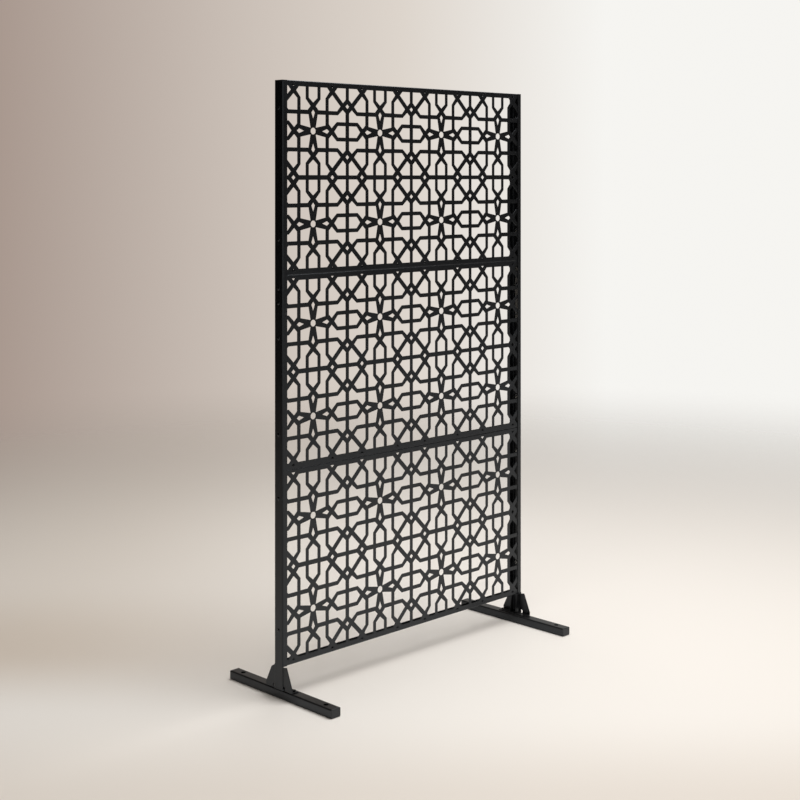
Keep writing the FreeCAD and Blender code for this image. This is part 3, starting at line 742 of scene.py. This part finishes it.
def make_posts():
    """The four lengths of channel, their folds rounded on the outer side of the screen.

    A lower length's legs end where the lowest panel does, and its folds start a little over that."""
    radius = sizes().post_fold
    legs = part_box("panel_bottom")[0].z
    for side, sign in SIDES:
        for node in ("post_lower_" + side, "post_upper_" + side):
            low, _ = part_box(node)
            cut = legs + FOLD_START * radius if low.z < legs else None
            web = outer_face(node, sign)
            strips = []
            lines = []
            for depth, inward in both_faces(node, "y"):
                strips.append(("y", depth, depth + inward * STRIP_REACH * radius))
                lines += fold(sizes().post_sheet, radius, x=web, y=(depth, inward))
            lines = [({**places, "above": cut or low.z}, size) for places, size in lines]
            rounded(*dressed(node, "post_coat", strips, cut), sizes().coat_edge, lines)


def make_splices():
    """The tapped plates behind the joints of the posts."""
    for side, _ in SIDES:
        rounded(*dressed("splice_plate_" + side, "nut_steel"), sizes().coat_edge)


def make_foot_bars():
    """The two rectangular tubes, with the corners that rolling leaves."""
    radius = sizes().tube_corner
    for side, _ in SIDES:
        node = "foot_bar_" + side
        strips = []
        lines = []
        for across, inward in both_faces(node, "x"):
            strips.append(("x", across, across + inward * STRIP_REACH * radius))
            for height in both_faces(node, "z"):
                lines += fold(sizes().tube_sheet, radius, x=(across, inward), z=height)
        rounded(*dressed(node, "foot_coat", strips), sizes().coat_edge, lines)


def make_foot_caps():
    """The four moulded plugs, rounded like the tubes and round their ends."""
    for side, _ in SIDES:
        for end, face in (("front", 0), ("back", 1)):
            node = "foot_cap_%s_%s" % (end, side)
            low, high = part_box(node)
            tip, _ = both_faces(node, "y")[face]
            lines = []
            for across in (low.x, high.x):
                lines.append(({"x": across, "y": tip}, sizes().cap_corner))
                lines += [({"x": across, "z": height}, sizes().tube_corner) for height in (low.z, high.z)]
            lines += [({"y": tip, "z": height}, sizes().cap_corner) for height in (low.z, high.z)]
            rounded(*dressed(node, "cap_plastic"), sizes().coat_edge, lines, segments=CAP_SEGMENTS)


def raise_shoulder(mesh, top):
    """Raises the front shoulder of a bracket's plate: of the points below its top, the highest in front."""
    spots = read(mesh.vertices, "co", 3)
    below = spots[(spots[:, 1] < 0) & (spots[:, 2] < top - LINE_DISTANCE)]
    shoulder = (spots[:, 1] < 0) & (np.abs(spots[:, 2] - below[:, 2].max()) < LINE_DISTANCE)
    spots[shoulder, 2] += sizes().shoulder_rise
    mesh.vertices.foreach_set("co", spots.ravel())
    mesh.update()


def make_brackets():
    """The folded brackets and the stiffeners inside them."""
    for side, sign in SIDES:
        node = "bracket_" + side
        low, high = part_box(node)
        piece, mesh = dressed(node, "foot_coat")
        raise_shoulder(mesh, high.z)
        lines = [({"x": outer_face(node, sign)[0], "z": low.z}, sizes().bracket_fold)]
        rounded(piece, mesh, sizes().plate_edge, lines, segments=BRACKET_SEGMENTS)
        node = "bracket_stiffener_" + side
        lines = []
        for depth in both_faces(node, "y"):
            lines += fold(sizes().stiffener_sheet, sizes().stiffener_fold, x=outer_face(node, sign), y=depth)
        rounded(*dressed(node, "foot_coat"), sizes().coat_edge, lines)


# Fasteners, as rings of points round an axis.

def ring_angles(sides=RING_SIDES):
    """The angle of each point in a ring."""
    return np.linspace(0, 2 * math.pi, sides, endpoint=False)


def hexagon(width):
    """The radius of a hexagon at each angle, from its width across flats: half the width over the
    cosine of the angle from the nearest flat's middle."""
    sixth = math.pi / 3
    return width / 2 / np.cos((ring_angles() + sixth / 2) % sixth - sixth / 2)


def ring(radii, heights):
    """Points round the Z axis at every angle, from radii and heights that may follow the angle."""
    angles = ring_angles()
    radii = np.broadcast_to(radii, angles.shape)
    heights = np.broadcast_to(heights, angles.shape)
    return np.stack([radii * np.cos(angles), radii * np.sin(angles), heights], axis=-1)


def thread_rings(radius, bottom, top):
    """A threaded shank. The radius falls and rises once in a pitch, and where in the pitch a point
    lies is its height over the pitch less its angle as a share of a turn, which makes a helix."""
    pitch = sizes().thread_pitch
    count = int((top - bottom) / pitch * RINGS_PER_THREAD) + 1
    heights = np.linspace(bottom, top, count)[:, None]
    phase = (heights / pitch - ring_angles()[None, :] / (2 * math.pi)) % 1
    depth = sizes().thread_depth * np.abs(2 * phase - 1)
    runout = np.clip((heights - bottom) / pitch, 0, 1)
    radii = radius - depth - (1 - runout) * sizes().thread_depth
    return [ring(radii[index], heights[index, 0]) for index in range(count)]


def socket_screw(head_radius, head, socket, shank_radius, shank_length):
    """A screw along Z with its seat at zero, from the shank's tip to the floor of its hexagon socket.

    The head is a list of radii and heights, and it ends where the socket's countersink begins."""
    rings = thread_rings(shank_radius, -shank_length, 0)
    rings.append(ring(head_radius - sizes().plate_edge / 2, 0))
    rings += [ring(radius, height) for radius, height in head]
    outline = hexagon(socket)
    crown = head[-1][1]
    rings.append(ring(outline, crown - SOCKET_CHAMFER_SHARE * sizes().socket_depth))
    rings.append(ring(outline, crown - sizes().socket_depth))
    rings.append(ring(outline * SOCKET_CENTRE_SHARE, crown - sizes().socket_depth))
    return np.stack(rings)


def socket_reach(width):
    """Radius of the circle where a socket's countersink begins, a little outside its corners."""
    return width / 2 / math.cos(math.pi / 6) * SOCKET_MARGIN


def dome_head(radius, height, socket):
    """Radii and heights of a button head: a low rim, then a part of a sphere up to the socket.

    The sphere's radius is the sum of the squares of the head's radius and the dome's height, over
    twice that height, and a point on it lies at the sine and the cosine of its angle from the axis."""
    rim = height * RIM_SHARE
    dome = height - rim
    sphere = (radius ** 2 + dome ** 2) / (2 * dome)
    turns = np.linspace(math.asin(radius / sphere), math.asin(socket_reach(socket) / sphere), HEAD_RINGS)
    crown = [(sphere * math.sin(turn), height - sphere * (1 - math.cos(turn))) for turn in turns]
    return [(radius, rim / 2)] + crown


def drum_head(radius, height, socket):
    """Radii and heights of a cap head: a straight side, an edge rounded by a quarter circle, and a
    level top."""
    edge = sizes().plate_edge
    turns = np.linspace(0, math.pi / 2, HEAD_RINGS)
    corner = [(radius - edge * (1 - math.cos(turn)), height - edge * (1 - math.sin(turn))) for turn in turns]
    return [(radius, edge)] + corner + [(socket_reach(socket), height)]


def hexagon_nut(width, height, bore):
    """A hexagon nut along Z from zero, as a closed loop of rings: bore, top, sides and bottom.

    Its corners are cut by a cone, so the edge of each chamfer lies lower by a share of how far the
    hexagon stands out past its flats."""
    outline = hexagon(width)
    face = NUT_FACE_SHARE * width / 2
    fall = (outline - face) * math.tan(NUT_CHAMFER)
    countersink = COUNTERSINK_SHARE * width / 2
    return np.stack([
        ring(bore, countersink), ring(bore, height - countersink), ring(bore + countersink, height),
        ring(face, height), ring(outline, height - fall), ring(outline, fall),
        ring(face, 0), ring(bore + countersink, 0),
    ])


def moved(points, origin, axis, sign):
    """Points made along Z turned to run along another axis, up or down it, and moved to a place."""
    order = {"x": (1, 2, 0), "z": (0, 1, 2)}[axis]
    local = points * np.array([1, sign, sign])
    turned = np.empty_like(local)
    turned[..., order] = local
    return turned + np.array(origin)


def solids_of(node):
    """The lowest corner, the highest corner and the middle of each separate solid in a node.

    Its points are joined, then the separate shells are told apart by a flood along their edges."""
    work = merged_mesh(node)
    left = set(work.verts)
    boxes = []
    while left:
        reached = [left.pop()]
        for vertex in reached:
            near = {edge.other_vert(vertex) for edge in vertex.link_edges} & left
            left -= near
            reached += near
        spots = np.array([vertex.co for vertex in reached])
        boxes.append((spots.min(axis=0), spots.max(axis=0)))
    work.free()
    boxes.sort(key=lambda box: box[0].tolist())
    return [(low, high, (low + high) / 2) for low, high in boxes]


def make_side_screws():
    """The screws in the posts' outer faces, each where its solid is."""
    socket = sizes().socket_width
    head = dome_head(SCREW_HEAD_RADIUS, SCREW_HEAD_HEIGHT, socket)
    for side, sign in SIDES:
        for node in ("side_screws_" + side, "splice_screws_" + side):
            grids = []
            for low, high, middle in solids_of(node):
                seat = (high[0] - SCREW_HEAD_HEIGHT) if sign > 0 else (low[0] + SCREW_HEAD_HEIGHT)
                reach = high[0] - low[0] - SCREW_HEAD_HEIGHT
                screw = socket_screw(SCREW_HEAD_RADIUS, head, socket, SCREW_RADIUS, reach)
                grids.append(moved(screw, (seat, middle[1], middle[2]), "x", sign))
            name = "coated_" + node
            new_piece(name, grid_mesh(name, grids), slot_material("screw_coat"), [node])


def make_foot_bolts():
    """The bolts that hold the brackets down on the foot bars."""
    radius = sizes().bolt_head_radius
    socket = sizes().bolt_socket_width
    head = drum_head(radius, sizes().bolt_head_height, socket)
    for side, _ in SIDES:
        node = "foot_bolts_" + side
        grids = []
        for low, high, middle in solids_of(node):
            seat = high[2] - SCREW_HEAD_HEIGHT
            bolt = socket_screw(radius, head, socket, SCREW_RADIUS, seat - low[2])
            grids.append(moved(bolt, (middle[0], middle[1], seat), "z", 1))
        name = "coated_" + node
        new_piece(name, grid_mesh(name, grids), slot_material("bolt_black"), [node])


def make_nuts():
    """The captive nuts inside the panels' side flanges and the foot bars."""
    for node in [panel + "_nuts" for panel in PANELS] + ["foot_nuts_" + side for side, _ in SIDES]:
        grids = []
        for low, high, middle in solids_of(node):
            if node.startswith("foot"):
                origin, axis, sign = (middle[0], middle[1], low[2]), "z", 1
            else:
                sign = 1 if middle[0] > 0 else -1
                origin, axis = (low[0] if sign > 0 else high[0], middle[1], middle[2]), "x"
            height = (high - low)[AXES[axis]]
            grids.append(moved(hexagon_nut(NUT_WIDTH, height, NUT_BORE), origin, axis, sign))
        name = "plated_" + node
        mesh = grid_mesh(name, grids, joined_ends=True)
        new_piece(name, mesh, slot_material("nut_steel"), [node])


# Welds.

def weld_bead(across, depth, foot):
    """A stitch of weld that runs straight up from a height, as a round profile carried along a line.

    The profile's radius is the bead's, less the ripple's share in the hollow of each wave, and falls
    to almost nothing at both ends as the root of one less the fourth power of the way from the
    middle."""
    reach = sizes().weld_length
    way = np.linspace(-1, 1, int(reach / sizes().weld_ripple * RIPPLE_POINTS) + 1)
    wave = np.abs(np.sin(np.pi * (way + 1) / 2 * reach / sizes().weld_ripple))
    ripple = 1 - RIPPLE_SHARE + RIPPLE_SHARE * wave
    radius = sizes().weld_radius * ripple * np.sqrt(np.clip(1 - way ** 4, BEAD_TIP_SHARE, 1))
    angles, radius = np.meshgrid(ring_angles(BEAD_SIDES), radius)
    heights = np.broadcast_to(foot + (way[:, None] + 1) / 2 * reach, radius.shape)
    return np.stack([across - radius * np.cos(angles), depth - radius * np.sin(angles), heights], axis=-1)


def make_welds():
    """Stitches of weld up the front of each post's foot on its bracket, and up both sides of each
    stiffener where it lies on the bracket's plate."""
    stitch = sizes().weld_length
    for side, sign in SIDES:
        post_front, _ = both_faces("post_lower_" + side, "y")[0]
        plate_face, _ = outer_face("bracket_" + side, sign)
        rib_face, _ = outer_face("bracket_stiffener_" + side, sign)
        rib_low, rib_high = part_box("bracket_stiffener_" + side)
        gap = (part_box("bracket_" + side)[1].z - rib_low.z - STITCHES * stitch) / (STITCHES + 1)
        grids = []
        for count in range(STITCHES):
            foot = rib_low.z + gap + count * (stitch + gap)
            for across, depth in ((plate_face, post_front), (rib_face, rib_low.y), (rib_face, rib_high.y)):
                grids.append(weld_bead(across, depth, foot))
        name = "bracket_welds_" + side
        new_piece(name, grid_mesh(name, grids), slot_material("foot_coat"))


# Stage.

def along(tree, vector, axis):
    """How far a vector reaches along an axis."""
    product = tree.nodes.new("ShaderNodeVectorMath")
    product.operation = "DOT_PRODUCT"
    product.inputs[1].default_value = axis
    tree.links.new(vector, product.inputs[0])
    return product.outputs["Value"]


def level_axis(heading):
    """The level direction of a heading, which turns to the right from +Y."""
    return (math.sin(heading), math.cos(heading), 0)


def direction_share(tree, direction, heading):
    """How far a direction points along a heading: nought straight away from it, one along it."""
    return range_node(tree, along(tree, direction, level_axis(heading)), -1.0, 1.0, 0.0, 1.0, "LINEAR")


def backdrop_colour(tree, direction, settings):
    """The backdrop's colour by direction: it brightens from the camera's left to its right, and is
    dimmer behind the camera."""
    ramp = tree.nodes.new("ShaderNodeValToRGB")
    stops = ((DARK_STOP, settings.dark_side), (MIDDLE_STOP, settings.middle_side),
             (BRIGHT_STOP, settings.bright_side))
    ramp.color_ramp.elements.new(BRIGHT_STOP)
    for element, (position, tint) in zip(ramp.color_ramp.elements, stops):
        element.position = position
        element.color = (*tint, 1)
    tree.links.new(direction_share(tree, direction, settings.heading + math.pi / 2), ramp.inputs["Fac"])
    ahead = range_node(tree, direction_share(tree, direction, settings.heading), *BEHIND_RANGE)
    return mix_colour(tree, ahead, settings.back_side, ramp.outputs["Color"])


def make_world(settings):
    """A soft studio backdrop all round, dark on one side and white on the other, under a dimmer ceiling."""
    world = bpy.data.worlds.new("studio")
    bpy.context.scene.world = world
    world.use_nodes = True
    tree = world.node_tree
    back = tree.nodes["Background"]
    direction = tree.nodes.new("ShaderNodeTexCoord").outputs["Generated"]
    tree.links.new(backdrop_colour(tree, direction, settings), back.inputs["Color"])
    upward = along(tree, direction, (0, 0, 1))
    dimmed = range_node(tree, upward, CEILING_START, CEILING_END, 1.0, settings.ceiling_share)
    tree.links.new(dimmed, back.inputs["Strength"])


def floor_shade(tree, point, settings):
    """How dark the floor's painted shadow is: it darkens the floor to the left of the screen, most of all
    just behind its feet, and as painted shade towards the camera."""
    behind = along(tree, point, level_axis(settings.heading))
    across = along(tree, point, level_axis(settings.heading + math.pi / 2))
    left = range_node(tree, across, *LEFT_RANGE)
    near_feet = range_node(tree, behind, *NEAR_FEET_RANGE)
    far_feet = range_node(tree, behind, *FAR_FEET_RANGE)
    camera_side = range_node(tree, behind, *CAMERA_SIDE_RANGE)
    left_side = math_node(tree, "MULTIPLY", left, math_node(tree, "MULTIPLY", near_feet, far_feet))
    return math_node(tree, "MAXIMUM", left_side, camera_side)


def make_floor(settings):
    """A pale round floor that fades into the backdrop, as rings of points about the origin, with a painted
    shadow in its colour. The outer ring's own flat face is left out."""
    angles, radii = np.meshgrid(ring_angles(FLOOR_SIDES), [settings.floor_radius, *FLOOR_RINGS])
    heights = np.full(radii.shape, -FLOOR_DROP)
    points = np.stack([radii * np.cos(angles), radii * np.sin(angles), heights], axis=-1)
    faces = grid_faces(len(radii), FLOOR_SIDES, joined_ends=False)
    del faces[-2]
    mesh = bpy.data.meshes.new("floor")
    mesh.from_pydata(points.reshape(-1, 3).tolist(), [], faces)
    material, tree, shader = blank_material("studio_floor")
    point = tree.nodes.new("ShaderNodeTexCoord").outputs["Object"]
    away = tree.nodes.new("ShaderNodeVectorMath")
    away.operation = "LENGTH"
    tree.links.new(point, away.inputs[0])
    shade = floor_shade(tree, point, settings)
    # The floor's colour is drawn towards its darkest by the mask of painted shadow and shade.
    tinted = mix_colour(tree, shade, settings.floor_colour, settings.floor_shadow)
    tree.links.new(tinted, shader.inputs["Base Color"])
    shader.inputs["Roughness"].default_value = FLOOR_ROUGHNESS
    shader.inputs["Specular IOR Level"].default_value = FLOOR_SPECULAR
    fade = range_node(tree, away.outputs["Value"], settings.floor_fade, settings.floor_radius, 1.0, 0.0)
    tree.links.new(fade, shader.inputs["Alpha"])
    mesh.materials.append(material)
    linked("floor", mesh)


def make_lamp(settings):
    """A square soft light that hangs over the screen and points at its foot."""
    lamp = bpy.data.lights.new("top_light", "AREA")
    lamp.shape = "SQUARE"
    lamp.size = settings.top_size
    lamp.energy = settings.top_power
    light = linked("top_light", lamp)
    light.location = settings.top_place
    across, behind, up = settings.top_place
    tilt = math.acos(up / math.hypot(across, behind, up))
    light.rotation_euler = (tilt, 0, math.atan2(-behind, -across) - math.pi / 2)


def make_flag(name, heading, distance, tint, settings):
    """A dark card that stands on the floor on one side, out of the camera's sight."""
    toward = np.array([math.sin(heading), math.cos(heading)]) * distance
    beside = np.array([math.cos(heading), -math.sin(heading)]) * settings.flag_width / 2
    feet = np.array([toward + beside, toward - beside])
    top = settings.flag_height
    mesh = bpy.data.meshes.new(name)
    mesh.from_pydata([(*feet[0], 0), (*feet[1], 0), (*feet[1], top), (*feet[0], top)], [], [(0, 1, 2, 3)])
    material, _, shader = blank_material(name + "_cloth")
    shader.inputs["Base Color"].default_value = (*tint, 1)
    shader.inputs["Roughness"].default_value = 1.0
    shader.inputs["Specular IOR Level"].default_value = 0.0
    mesh.materials.append(material)
    card = linked(name, mesh)
    card.visible_camera = False


def make_camera(settings):
    """A level camera with its lens shifted down, so the posts stay upright in the picture."""
    camera = linked("camera", bpy.data.cameras.new("camera"))
    camera.data.lens = settings.lens
    camera.data.sensor_width = FRAME_WIDTH
    camera.data.shift_y = settings.shift
    camera.location = settings.camera_place
    camera.rotation_euler = (math.pi / 2, 0, -settings.heading)
    bpy.context.scene.camera = camera


def make_stage():
    """Floor, backdrop, lamp, cards and camera."""
    settings = bpy.context.scene.screen_stage
    bpy.context.scene.view_settings.view_transform = "Standard"
    make_world(settings)
    make_floor(settings)
    left = settings.heading - math.pi / 2
    right = settings.heading + math.pi / 2
    make_flag("left_card", left, settings.left_distance, settings.left_flag, settings)
    make_flag("right_card", right, settings.right_distance, settings.right_flag, settings)
    make_lamp(settings)
    make_camera(settings)


class BuildOperator:
    """What every build step of the screen shares."""

    bl_options = {"REGISTER", "UNDO"}

    def execute(self, context):
        """Runs the step; a failure in it raises."""
        type(self).build()
        return {"FINISHED"}


class SCREEN_OT_panels(BuildOperator, bpy.types.Operator):
    """Make the three fretwork panels"""

    bl_idname = "screen.panels"
    bl_label = "Panels"
    build = staticmethod(make_panels)


class SCREEN_OT_posts(BuildOperator, bpy.types.Operator):
    """Make the four lengths of post"""

    bl_idname = "screen.posts"
    bl_label = "Posts"
    build = staticmethod(make_posts)


class SCREEN_OT_splices(BuildOperator, bpy.types.Operator):
    """Make the plates that splice the posts"""

    bl_idname = "screen.splices"
    bl_label = "Splice plates"
    build = staticmethod(make_splices)


class SCREEN_OT_side_screws(BuildOperator, bpy.types.Operator):
    """Make the screws in the posts' outer faces"""

    bl_idname = "screen.side_screws"
    bl_label = "Side screws"
    build = staticmethod(make_side_screws)


class SCREEN_OT_nuts(BuildOperator, bpy.types.Operator):
    """Make the captive nuts"""

    bl_idname = "screen.nuts"
    bl_label = "Nuts"
    build = staticmethod(make_nuts)


class SCREEN_OT_foot_bars(BuildOperator, bpy.types.Operator):
    """Make the two foot bars"""

    bl_idname = "screen.foot_bars"
    bl_label = "Foot bars"
    build = staticmethod(make_foot_bars)


class SCREEN_OT_foot_caps(BuildOperator, bpy.types.Operator):
    """Make the four end caps of the foot bars"""

    bl_idname = "screen.foot_caps"
    bl_label = "End caps"
    build = staticmethod(make_foot_caps)


class SCREEN_OT_brackets(BuildOperator, bpy.types.Operator):
    """Make the brackets and their stiffeners"""

    bl_idname = "screen.brackets"
    bl_label = "Brackets"
    build = staticmethod(make_brackets)


class SCREEN_OT_foot_bolts(BuildOperator, bpy.types.Operator):
    """Make the bolts that hold the brackets down"""

    bl_idname = "screen.foot_bolts"
    bl_label = "Foot bolts"
    build = staticmethod(make_foot_bolts)


class SCREEN_OT_welds(BuildOperator, bpy.types.Operator):
    """Make the weld beads of the brackets"""

    bl_idname = "screen.welds"
    bl_label = "Welds"
    build = staticmethod(make_welds)


class SCREEN_OT_stage(BuildOperator, bpy.types.Operator):
    """Make the floor, the backdrop, the lights and the camera"""

    bl_idname = "screen.stage"
    bl_label = "Stage"
    build = staticmethod(make_stage)


OPERATORS = (
    SCREEN_OT_panels, SCREEN_OT_posts, SCREEN_OT_splices, SCREEN_OT_side_screws, SCREEN_OT_nuts,
    SCREEN_OT_foot_bars, SCREEN_OT_foot_caps, SCREEN_OT_brackets, SCREEN_OT_foot_bolts, SCREEN_OT_welds,
    SCREEN_OT_stage,
)


class SCREEN_PT_build(bpy.types.Panel):
    """The build steps of the screen and their settings"""

    bl_idname = "SCREEN_PT_build"
    bl_label = "Privacy screen"
    bl_space_type = "VIEW_3D"
    bl_region_type = "UI"
    bl_category = "Privacy screen"

    def draw(self, context):
        """One button for each step, then every setting."""
        for operator in OPERATORS:
            self.layout.operator(operator.bl_idname)
        for group in SETTINGS:
            settings = getattr(context.scene, group)
            column = self.layout.column(align=True)
            for name in settings.bl_rna.properties.keys():
                if name not in ("rna_type", "name"):
                    column.prop(settings, name)


CLASSES = (ScreenSizes, ScreenFinish, ScreenStage) + OPERATORS + (SCREEN_PT_build,)
SETTINGS = {"screen_sizes": ScreenSizes, "screen_finish": ScreenFinish, "screen_stage": ScreenStage}


def register():
    """Makes the classes and the settings known."""
    for one in CLASSES:
        bpy.utils.register_class(one)
    for name, group in SETTINGS.items():
        setattr(bpy.types.Scene, name, PointerProperty(type=group))


def unregister():
    """Takes the settings and the classes away again."""
    for name in SETTINGS:
        delattr(bpy.types.Scene, name)
    for one in reversed(CLASSES):
        bpy.utils.unregister_class(one)


def main():
    """Builds the whole screen."""
    register()
    for operator in OPERATORS:
        area, step = operator.bl_idname.split(".")
        getattr(getattr(bpy.ops, area), step)()


if __name__ == "__main__":
    main()
